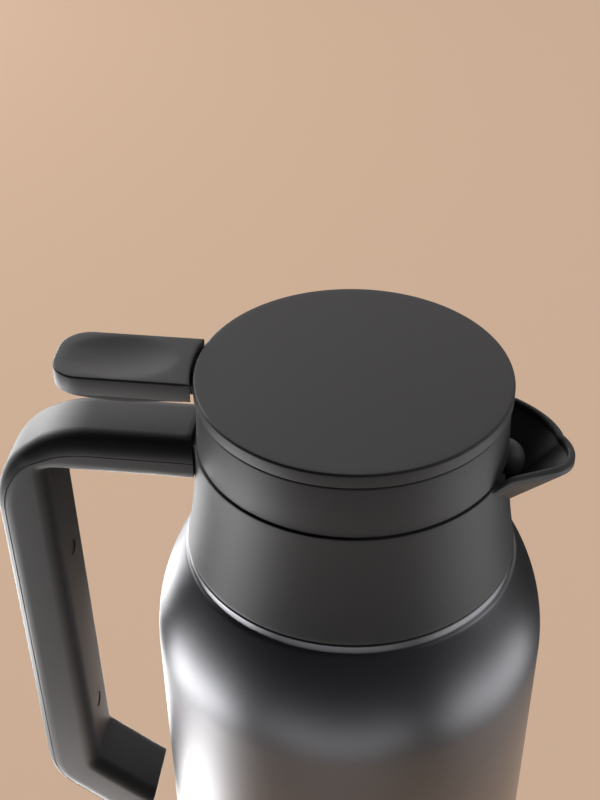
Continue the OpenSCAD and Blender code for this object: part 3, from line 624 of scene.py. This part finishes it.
# Handle sizes, in millimetres
BEND_R = 35.0
ARM_H = 16.0
GRIP_T = 21.0
GRIP_L = 128.3
SLANT = 1.8
FOOT_ANGLE = 38.0
FOOT_L = 28.0
END_TILT = 12.0
ROOT_R = COLLAR_TOP_R + 1.0
EDGE_OUT = 7.0
EDGE_IN = 5.5
COVER_ARM = 7.4
COVER_GRIP = 3.6
SPLIT = 0.06
GRIP_SCREWS = (26.0, 106.0)
SCREW_HEAD_R = (hi("cover_screws").y - lo("cover_screws").y) / 2 + 0.2


def handle_stations():
    """Pairs of inner and outer points down the handle, with the depth of the cover at each."""
    bend = Vector((HANDLE_BACK + BEND_R, ARM_TOP - BEND_R))
    face = math.radians(180 + SLANT)
    foot_face = math.radians(270 - FOOT_ANGLE)
    way = Vector((math.sin(math.radians(SLANT)), -math.cos(math.radians(SLANT))))
    grip_in = bend + (BEND_R - GRIP_T) * Vector((math.cos(face), math.sin(face)))
    knee = grip_in + GRIP_L * way
    arm_low = ARM_TOP - ARM_H
    reach_up = (arm_low - grip_in.y) / way.y
    inside = grip_in + reach_up * way
    stations = []
    first = -ROOT_R - 1.2
    for x in [-ROOT_R] + [first + (bend.x - first) * i / 8 for i in range(9)]:
        stations.append((Vector((x, arm_low)), Vector((x, ARM_TOP)), COVER_ARM))
    steps = 28
    soften = 1.6
    for i in range(1, steps + 1):
        share = i / steps
        angle = math.radians(90) + (face - math.radians(90)) * share
        outer = bend + BEND_R * Vector((math.cos(angle), math.sin(angle)))
        along_arm, along_grip = max(0.0, 1 - 2 * share), max(0.0, 2 * share - 1)
        start = Vector((bend.x, arm_low))
        inner = inside + (start - inside) * along_arm ** 1.5 + (grip_in - inside) * along_grip ** 1.5
        near = 1 - abs(2 * share - 1)
        inner += Vector((-0.7, 0.7)) * soften * 0.25 * near * near
        depth = COVER_ARM + (COVER_GRIP - COVER_ARM) * share * share * (3 - 2 * share)
        stations.append((inner, outer, depth))
    for i in range(1, 25):
        inner = grip_in + way * (GRIP_L - 1.6) * i / 24
        normal = Vector((math.cos(face), math.sin(face)))
        stations.append((inner, inner + normal * GRIP_T, COVER_GRIP))
    steps = 12
    for i in range(1, steps + 1):
        angle = face + (foot_face - face) * i / steps
        normal = Vector((math.cos(angle), math.sin(angle)))
        share = i / steps
        along = Vector((math.cos(math.radians(FOOT_ANGLE)), -math.sin(math.radians(FOOT_ANGLE))))
        inner = (knee - way * 1.6) * (1 - share) ** 2 + knee * 2 * share * (1 - share) + (knee + along * 1.6) * share ** 2
        stations.append((inner, knee + normal * GRIP_T, COVER_GRIP))
    along = Vector((math.cos(math.radians(FOOT_ANGLE)), -math.sin(math.radians(FOOT_ANGLE))))
    normal = Vector((math.cos(foot_face), math.sin(foot_face)))
    tip = knee + FOOT_L * along
    lean = Vector((math.sin(math.radians(END_TILT)), math.cos(math.radians(END_TILT))))
    low_run = along.cross(lean)
    outer_start = knee + normal * GRIP_T
    gap = tip - outer_start
    outer_run = gap.cross(lean) / low_run
    for i in range(1, 9):
        share = i / 8
        inner = knee + along * (1.6 + (FOOT_L - 1.6) * share)
        stations.append((inner, outer_start + along * outer_run * share, COVER_GRIP))
    return stations


def ring_at(station, part):
    """The ring of the handle's cover or frame at a station, in metres, with small edges along the parting."""
    inner, outer, depth = station
    full = (outer - inner).length
    way = (outer - inner).normalized()
    half = HANDLE_HALF
    edge_out, edge_in = min(EDGE_OUT, 0.55 * full), min(EDGE_IN, 0.42 * full)
    start = full - edge_out
    # Side of the section as (depth, distance from the middle), from its inner face to its outer face
    split = full - depth
    share = max(0.0, min(1.0, (split - start) / edge_out))
    turn_at = math.degrees(math.asin(share))
    arc_c = (start, half - edge_out)
    width = arc_c[1] + edge_out * math.cos(math.radians(turn_at))
    lip, gap = 0.14, SPLIT / 2
    if part == "cover":
        side = [(split + gap, width - lip), (split + gap + 0.1, width - 0.1), (split + gap + lip, width)]
        side += [(max(start, split + gap + lip + 0.05), half)] if share == 0 else [(split + gap + lip + 0.05, width - 0.02)]
        side += arc(arc_c, edge_out, 90 - turn_at - (4.0 if share else 0.0), 0, 10)
    else:
        side = arc((edge_in, half - edge_in), edge_in, 180, 90, 10)
        side += [(min(start, split - gap - lip - 0.05) * 0.999, half)]
        side += arc(arc_c, edge_out, 90, min(90.0, 94.0 - turn_at), 4) if share else 5 * [(split - gap - lip - 0.04, half)]
        side += [(split - gap - lip, width), (split - gap - 0.1, width - 0.1), (split - gap, width - lip)]
    ring = [(d, y) for d, y in side] + [(d, -y) for d, y in reversed(side)]
    return [Vector(((inner + way * d).x, y, (inner + way * d).y)) * MM for d, y in ring]


# Lever sizes, in millimetres
LEVER_CORNER = 10.0
LEVER_GAP_R = DISC_R + 1.0
SHELL_GAP = 1.4
SHELL_IN = 1.0
CAP_LOW = lo("lever_cap").z
BELLY_Z = LEVER_TOP - 10.1
PIVOT = Vector((-38.0, 0.0, 268.0))


def lever_ring(inset, height, gap=0.0, steps=8, along=16):
    """Plan of the lever drawn in by inset, each point at the height that the function gives, in metres."""
    end, half = LEVER_END + inset, max(LEVER_HALF - inset, 0.25)
    round_r = max(min(LEVER_CORNER - inset, half - 0.05), 0.2)
    root = LEVER_GAP_R + gap + inset
    near = -math.sqrt(root * root - half * half)
    points = arc((end + round_r, half - round_r), round_r, 180, 90, steps)
    points += [(end + round_r + (near - end - round_r) * i / along, half) for i in range(1, along)]
    angle = math.degrees(math.asin(half / root))
    points += arc((0, 0), root, 180 - angle, 180 + angle, steps)
    points += [(near + (end + round_r - near) * i / along, -half) for i in range(1, along)]
    points += arc((end + round_r, round_r - half), round_r, 270, 180, steps)
    return [Vector((x, y, height(x, y))) * MM for x, y in points]


def dish(x, y, depth):
    """How far the thumb dish lies below the lever's top at a place."""
    near = 1 - ((x - LEVER_END - 22.0) / 19.5) ** 2 - (y / 12.6) ** 2
    return depth * max(0.0, near) ** 1.3


def lever_cap(depth):
    edge = 0.7
    parting = 0.3
    rings = [lever_ring(i, lambda x, y: CAP_LOW + 0.12) for i in (13.0, 8.0, 3.0, parting)]
    rings += [lever_ring(0.1, lambda x, y: CAP_LOW + 0.22), lever_ring(0.0, lambda x, y: CAP_LOW + 0.12 + parting)]
    for i in range(7):
        angle = math.radians(90 * i / 6)
        drop = edge * (1 - math.sin(angle))
        rings.append(lever_ring(edge * (1 - math.cos(angle)), lambda x, y: LEVER_TOP - drop - dish(x, y, depth)))
    for inset in (2.2, 3.0, 4.0, 5.0, 6.0, 7.0, 8.0, 9.0, 10.0, 11.0, 12.0, 13.0):
        rings.append(lever_ring(inset, lambda x, y: LEVER_TOP - dish(x, y, depth)))
    return loft(rings)


def belly(x, y):
    """Underside of the lever: low under the thumb and higher at both ends."""
    near = (x - LEVER_END - 23.5) / 13.0
    return BELLY_Z + 2.4 * (1 - math.exp(-near * near))


def lever_shell():
    """The lower shell of the lever, without its neck."""
    top, edge = CAP_LOW - 0.08, 0.5
    rings = [lever_ring(i, lambda x, y: top, SHELL_GAP) for i in (13.0, 8.0, 3.0, SHELL_IN + 0.1)]
    for i in range(7):
        angle = math.radians(90 * i / 6)
        inset = SHELL_IN + 2.0 * edge * (1 - math.cos(angle)) * 2
        lift = edge * (1 - math.sin(angle))
        rings.append(lever_ring(inset, lambda x, y: belly(x, y) + lift * (top - belly(x, y)) / 1.2, SHELL_GAP))
    rings += [lever_ring(i, belly, SHELL_GAP) for i in (4.0, 6.0, 8.0, 10.0, 12.0, 13.0)]
    return loft(rings)


def block(low, high):
    """A box between two corners, in millimetres."""
    mesh = bmesh.new()
    bmesh.ops.create_cube(mesh, size=1.0)
    low, high = Vector(low), Vector(high)
    bmesh.ops.scale(mesh, vec=(high - low) * MM, verts=mesh.verts)
    bmesh.ops.translate(mesh, vec=(low + high) / 2 * MM, verts=mesh.verts)
    return mesh


def rod(place, radius, width):
    """A cylinder across the lever with its middle at a place, in millimetres."""
    mesh = bmesh.new()
    bmesh.ops.create_cone(
        mesh, cap_ends=True, segments=48, radius1=radius * MM, radius2=radius * MM, depth=width * MM,
        matrix=Matrix.Translation(Vector(place) * MM) @ Matrix.Rotation(math.radians(90), 4, "X"),
    )
    return mesh


def drum(radius, low, high, inner=0.0):
    """A turned cylinder or ring about the axis, in millimetres."""
    return lathe([(inner, high), (inner, low), (radius, low), (radius, high)])


def grip_recess(drop):
    """The recess of one screw head on the finger face of the grip."""
    mesh = bmesh.new()
    slant = Matrix.Rotation(-math.radians(SLANT), 4, "Y")
    bend = Matrix.Translation(Vector((HANDLE_BACK + BEND_R, 0, ARM_TOP - BEND_R)) * MM)
    place = Matrix.Translation(Vector((GRIP_T - BEND_R + 0.4, 0, -drop)) * MM)
    bmesh.ops.create_cone(
        mesh, cap_ends=True, segments=64, radius1=SCREW_HEAD_R * MM, radius2=SCREW_HEAD_R * MM, depth=5.0 * MM,
        matrix=bend @ slant @ place @ Matrix.Rotation(math.radians(90), 4, "Y"),
    )
    return mesh


class CARAFE_OT_vessel(bpy.types.Operator):
    """Adds the steel body"""

    bl_idname = "carafe.vessel"
    bl_label = "Vessel"

    def execute(self, context):
        new_piece("steel_body", outer_shell(), "vessel", ["outer_shell"], "dark_steel", 50)
        return {"FINISHED"}


class CARAFE_OT_collar(bpy.types.Operator):
    """Adds the collar with its pouring spout"""

    bl_idname = "carafe.collar"
    bl_label = "Collar and spout"

    def execute(self, context):
        edge = context.scene.carafe_sizes.seam_edge / MM
        wall = scratch_object("collar_wall", lathe(collar_profile(edge)))
        opening = scratch_object("opening", spout_opening())
        cut_or_join(opening, scratch_object("floor_step", drum(CUP_R + 3.0, COLLAR_LOW, LIP_Z + 25.3)), "DIFFERENCE")
        cut_or_join(wall, opening, "DIFFERENCE")
        pad = scratch_object("pad", drum(ROOT_R - 0.3, ARM_TOP - ARM_H + 2.4, COLLAR_TOP - 0.8, CUP_R + 0.6))
        inset = HANDLE_HALF - 2.4
        cut_or_join(pad, scratch_object("reach", block((-80, -inset, COLLAR_LOW), (-40, inset, COLLAR_TOP))), "INTERSECT")
        cut_or_join(wall, pad, "UNION")
        spout = scratch_object("spout", spout_shell())
        cut_or_join(spout, scratch_object("inside", drum(CUP_R + 0.6, COLLAR_LOW, COLLAR_TOP + 20)), "DIFFERENCE")
        cut_or_join(wall, spout, "UNION")
        new_piece("collar_and_spout", bmesh_of(wall), "vessel", ["collar"], "black_plastic", 32)
        return {"FINISHED"}


class CARAFE_OT_lid(bpy.types.Operator):
    """Adds the lid disc and the skirt"""

    bl_idname = "carafe.lid"
    bl_label = "Lid"

    def execute(self, context):
        sizes = context.scene.carafe_sizes
        disc = lathe(disc_profile(sizes.disc_edge / MM), closed=False)
        new_piece("lid_disc", disc, "lid", ["lid_cover"], "black_plastic", 45)
        skirt = scratch_object("skirt", lathe(skirt_profile(sizes.seam_edge / MM), closed=False))
        slot = bmesh.new()
        bmesh.ops.create_cube(slot, size=1.0)
        bmesh.ops.scale(slot, vec=(Vector((12.0, 9.2, 9.0))) * MM, verts=slot.verts)
        bmesh.ops.translate(slot, vec=Vector((-50.0, 0, DISC_LOW - 3.3)) * MM, verts=slot.verts)
        cut_or_join(skirt, scratch_object("slot", slot), "DIFFERENCE")
        new_piece("lid_band", bmesh_of(skirt), "lid", ["lid_skirt"], "black_plastic", 45)
        return {"FINISHED"}


class CARAFE_OT_lever(bpy.types.Operator):
    """Adds the thumb lever and the flap over the spout"""

    bl_idname = "carafe.lever"
    bl_label = "Lever and flap"

    def execute(self, context):
        depth = context.scene.carafe_sizes.dish_depth / MM
        new_piece("lever_top", lever_cap(depth), "lever", ["lever_cap"], "black_plastic", 50)
        shell = scratch_object("shell", lever_shell())
        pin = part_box("lever_pin")
        pin_r = (pin[1].z - pin[0].z) / 2 / MM
        neck = lo("lever_arm"), hi("lever_arm")
        parts = [
            block((-LEVER_GAP_R - 9.4, -4.0, 270.2), (PIVOT.x, 4.0, CAP_LOW - 0.1)),
            rod(PIVOT, 4.6, 10.6),
        ]
        for side in (-1, 1):
            middle = side * 5.7
            parts.append(block((PIVOT.x, middle - 1.5, 261.7), (0.0, middle + 1.5, 265.7)))
            parts.append(rod((0.0, middle, 263.7), 1.9, 2.8))
        for part in parts:
            cut_or_join(shell, scratch_object("part", part), "UNION")
        cut_or_join(shell, scratch_object("pin_hole", rod(PIVOT, pin_r + 0.15, 40.0)), "DIFFERENCE")
        new_piece("lever_body", bmesh_of(shell), "lever", ["lever_arm"], "black_plastic", 50)
        self.add_flap()
        return {"FINISHED"}

    def add_flap(self):
        back = 51.6
        low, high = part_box("flap_pin")
        pin = (low + high) / 2 / MM
        mesh = bmesh.new()
        for x, z, radius in ((SKIRT_R - 1.0, COLLAR_TOP - 5.0, 7.0), (back, COLLAR_TOP - 10.6, 3.5)):
            bmesh.ops.create_uvsphere(
                mesh, u_segments=96, v_segments=48, radius=radius * MM,
                matrix=Matrix.Translation(Vector((x, 0, z)) * MM),
            )
        bmesh.ops.delete(mesh, geom=mesh.edges[:] + mesh.faces[:], context="EDGES_FACES")
        made = bmesh.ops.convex_hull(mesh, input=mesh.verts)
        bmesh.ops.delete(mesh, geom=list(set(made["geom_interior"] + made["geom_unused"])), context="VERTS")
        flap = scratch_object("flap", mesh)
        cut_or_join(flap, scratch_object("back", drum(back, 230, 290)), "DIFFERENCE")
        for low_c, high_c in (
            ((pin.x - 2.0, -3.2, pin.z - 2.0), (pin.x + 2.0, 3.2, pin.z + 2.0)),
            ((pin.x, -2.9, pin.z - 4.6), (back + 0.8, 2.9, pin.z - 2.4)),
        ):
            cut_or_join(flap, scratch_object("lug", block(low_c, high_c)), "UNION")
        cut_or_join(flap, scratch_object("hole", rod(pin, (high.z - low.z) / 2 / MM + 0.15, 30.0)), "DIFFERENCE")
        new_piece("spout_flap", bmesh_of(flap), "flap", ["pour_flap"], "black_plastic", 40)


class CARAFE_OT_handle(bpy.types.Operator):
    """Adds the two halves of the handle"""

    bl_idname = "carafe.handle"
    bl_label = "Handle"

    def execute(self, context):
        stations = handle_stations()
        for part, name, node in (("cover", "handle_back", "handle_cover"), ("frame", "handle_front", "handle_frame")):
            rings = [ring_at(s, part) for s in stations]
            for point in rings[0]:
                point.x = -math.sqrt((ROOT_R * MM) ** 2 - point.y ** 2)
            made = scratch_object(name + "_raw", loft(rings))
            if part == "frame":
                for z in GRIP_SCREWS:
                    cut_or_join(made, scratch_object("recess", grip_recess(z)), "DIFFERENCE")
            new_piece(name, bmesh_of(made), "vessel", [node], "black_plastic", 38)
        return {"FINISHED"}


class CARAFE_OT_materials(bpy.types.Operator):
    """Builds the finishes, over the flat materials of the same names that come with the frame"""

    bl_idname = "carafe.materials"
    bl_label = "Materials"

    def execute(self, context):
        for make in FINISHES.values():
            make()
        return {"FINISHED"}


class CARAFE_OT_finishes(bpy.types.Operator):
    """Gives every remaining node the finish of its material slot"""

    bl_idname = "carafe.finishes"
    bl_label = "Finishes"

    def execute(self, context):
        slots = {s["node"]: s["material_slot"] for s in frame["record"]["subparts"]}
        for node, piece in frame["nodes"].items():
            dress(piece, slots[node])
        return {"FINISHED"}


# The camera's view, from the fit of the photograph's outlines. Pixels are in its 600 x 800 frame
FOCAL_PX = 1502.0
ELEVATION = 35.36
TURN = 4.8
ROLL = 1.10
DISC_CENTRE_PX = (353.67, 373.86)
FRAME_PX = (600.0, 800.0)


class CARAFE_OT_studio(bpy.types.Operator):
    """Adds the floor, the lamps and the camera"""

    bl_idname = "carafe.studio"
    bl_label = "Studio"

    def execute(self, context):
        self.add_camera(context)
        self.add_backdrop(context)
        self.add_lamps(context)
        return {"FINISHED"}

    def add_camera(self, context):
        distance = context.scene.carafe_sizes.camera_distance
        target = Vector((0, 0, DISC_TOP * MM))
        tilt, turn = math.radians(ELEVATION), math.radians(TURN)
        back = Vector((math.cos(tilt) * math.sin(turn), -math.cos(tilt) * math.cos(turn), math.sin(tilt)))
        look = -back
        right = look.cross(Vector((0, 0, 1))).normalized()
        up = right.cross(look)
        aim = Matrix((right, up, back)).transposed()
        # The ray of the disc's centre in the picture is turned onto the line to the disc
        ray = Vector((DISC_CENTRE_PX[0] - FRAME_PX[0] / 2, FRAME_PX[1] / 2 - DISC_CENTRE_PX[1], -FOCAL_PX)).normalized()
        swing = Vector((0, 0, -1)).rotation_difference(ray).to_matrix()
        roll = Matrix.Rotation(math.radians(ROLL), 3, ray)
        turned = roll @ swing
        rotation = aim @ turned.transposed()
        data = bpy.data.cameras.new("camera")
        data.sensor_fit = "AUTO"
        data.sensor_width = 36.0
        data.lens = FOCAL_PX * data.sensor_width / FRAME_PX[1]
        data.clip_start, data.clip_end = 0.01, 50.0
        camera = bpy.data.objects.new("camera", data)
        camera.matrix_world = Matrix.Translation(target + back * distance) @ rotation.to_4x4()
        context.scene.collection.objects.link(camera)
        context.scene.camera = camera

    def add_backdrop(self, context):
        colours = context.scene.carafe_colours
        shader = Shader("backdrop")
        matt = shader.tree.nodes.new("ShaderNodeBsdfDiffuse")
        matt.inputs["Color"].default_value = rgba(colours.backdrop)
        glow = shader.tree.nodes.new("ShaderNodeEmission")
        glow.inputs["Color"].default_value = rgba(colours.backdrop)
        paths = shader.tree.nodes.new("ShaderNodeLightPath")
        camera, glossy, through = [
            Socket(shader, paths.outputs[f"Is {kind} Ray"]) for kind in ("Camera", "Glossy", "Transmission")
        ]
        # Painted reflection: glossy rays see the floor only as a glow, 1.6 times the backdrop within 0.17 m of its
        # centre, fading out by 0.215 m toward the dark room
        place = shader.node("ShaderNodeTexCoord", out=3)
        away = shader.node("ShaderNodeVectorMath", {"operation": "LENGTH"}, {"Vector": place}, 1)
        near = 1.0 - away.smooth(0.17, 0.215)
        shader.plug(glow.inputs["Strength"], camera + through + glossy * near * 1.6)
        either = shader.tree.nodes.new("ShaderNodeMixShader")
        shader.plug(either.inputs[0], camera * 0.85 + glossy + through * 0.85)
        shader.tree.links.new(matt.outputs[0], either.inputs[1])
        shader.tree.links.new(glow.outputs[0], either.inputs[2])
        output = shader.tree.nodes.new("ShaderNodeOutputMaterial")
        shader.tree.links.new(either.outputs[0], output.inputs["Surface"])
        mesh = bmesh.new()
        bmesh.ops.create_grid(mesh, x_segments=1, y_segments=1, size=6.0)
        data = bpy.data.meshes.new("floor")
        mesh.to_mesh(data)
        mesh.free()
        floor = bpy.data.objects.new("floor", data)
        floor.data.materials.append(shader.material)
        context.scene.collection.objects.link(floor)
        self.add_world(context, colours)

    def add_world(self, context, colours):
        """A dark room in front, and the pale wall behind the object."""
        world = context.scene.world or bpy.data.worlds.new("studio")
        context.scene.world = world
        world.use_nodes = True
        room = Shader.of_world(world)
        place = room.node("ShaderNodeTexCoord")
        deep = room.node("ShaderNodeSeparateXYZ", {}, {"Vector": place}, 1)
        paths = room.tree.nodes.new("ShaderNodeLightPath")
        seen = Socket(room, paths.outputs["Is Camera Ray"])
        lit = room.mix(deep.smooth(0.25, 0.85), (0.045, 0.045, 0.05, 1.0), (0.86, 0.80, 0.77, 1.0))
        shown = room.mix(seen, lit, rgba(colours.backdrop))
        background = room.tree.nodes.new("ShaderNodeBackground")
        room.plug(background.inputs["Color"], shown)
        output = room.tree.nodes.new("ShaderNodeOutputWorld")
        room.tree.links.new(background.outputs[0], output.inputs["Surface"])

    def add_lamps(self, context):
        # Name, place, size, what it is aimed at and power
        lamps = (
            ("softbox_left", (-1.0, 0.80, 0.50), (0.45, 0.6), (0, 0, 0.22), 5.0),
            ("softbox_back_left", (-0.94, 1.06, 0.42), (0.5, 0.8), (-0.1, 0, 0.25), 17.0),
            ("softbox_back", (0.2, 1.3, 1.25), (1.4, 0.7), (0, 0, 0.25), 1.5),
            ("softbox_right", (1.2, 0.1, 0.8), (0.3, 0.9), (0, 0, 0.2), 3.2),
            ("card_left", (-0.31, 0.03, 0.004), (0.14, 0.46), (-0.31, 0.03, 1.0), 2.6),
            ("card_back_left", (-0.50, 0.38, 0.004), (0.30, 0.36), (-0.50, 0.38, 1.0), 3.0),
            ("card_near", (-0.125, 0.06, 0.003), (0.09, 0.24), (-0.125, 0.06, 1.0), 0.7),
            ("card_front", (0.0, -0.36, 0.004), (0.50, 0.16), (0.0, -0.36, 1.0), 0.55),
            ("card_right", (0.42, -0.05, 0.004), (0.26, 0.40), (0.42, -0.05, 1.0), 1.3),
        )
        for name, place, size, aim, power in lamps:
            data = bpy.data.lights.new(name, "AREA")
            data.shape = "RECTANGLE"
            data.size, data.size_y = size
            data.energy = power
            lamp = bpy.data.objects.new(name, data)
            lamp.visible_camera = False
            lamp.location = place
            lamp.rotation_euler = (Vector(aim) - Vector(place)).to_track_quat("-Z", "Y").to_euler()
            context.scene.collection.objects.link(lamp)


class CARAFE_PT_panel(bpy.types.Panel):
    """Lists the pieces of the carafe"""

    bl_idname = "CARAFE_PT_panel"
    bl_label = "Carafe"
    bl_space_type = "VIEW_3D"
    bl_region_type = "UI"
    bl_category = "Carafe"

    def draw(self, context):
        for group in (context.scene.carafe_sizes, context.scene.carafe_colours):
            for name in group.__annotations__:
                self.layout.prop(group, name)
        for operator in STEPS:
            self.layout.operator(operator.bl_idname)


STEPS = (
    CARAFE_OT_materials, CARAFE_OT_studio, CARAFE_OT_vessel, CARAFE_OT_collar, CARAFE_OT_lid,
    CARAFE_OT_lever, CARAFE_OT_handle,
    CARAFE_OT_finishes,
)
CLASSES = (CarafeSizes, CarafeColours, *STEPS, CARAFE_PT_panel)


def register():
    for made in CLASSES:
        bpy.utils.register_class(made)
    bpy.types.Scene.carafe_sizes = PointerProperty(type=CarafeSizes)
    bpy.types.Scene.carafe_colours = PointerProperty(type=CarafeColours)


def unregister():
    del bpy.types.Scene.carafe_colours
    del bpy.types.Scene.carafe_sizes
    for made in reversed(CLASSES):
        bpy.utils.unregister_class(made)


def main():
    register()
    context = bpy.context
    context.scene.view_settings.view_transform = "Standard"
    bpy.ops.carafe.studio()
    bpy.ops.carafe.materials()
    bpy.ops.carafe.vessel()
    bpy.ops.carafe.collar()
    bpy.ops.carafe.lid()
    bpy.ops.carafe.lever()
    bpy.ops.carafe.handle()
    bpy.ops.carafe.finishes()


if __name__ == "__main__":
    main()
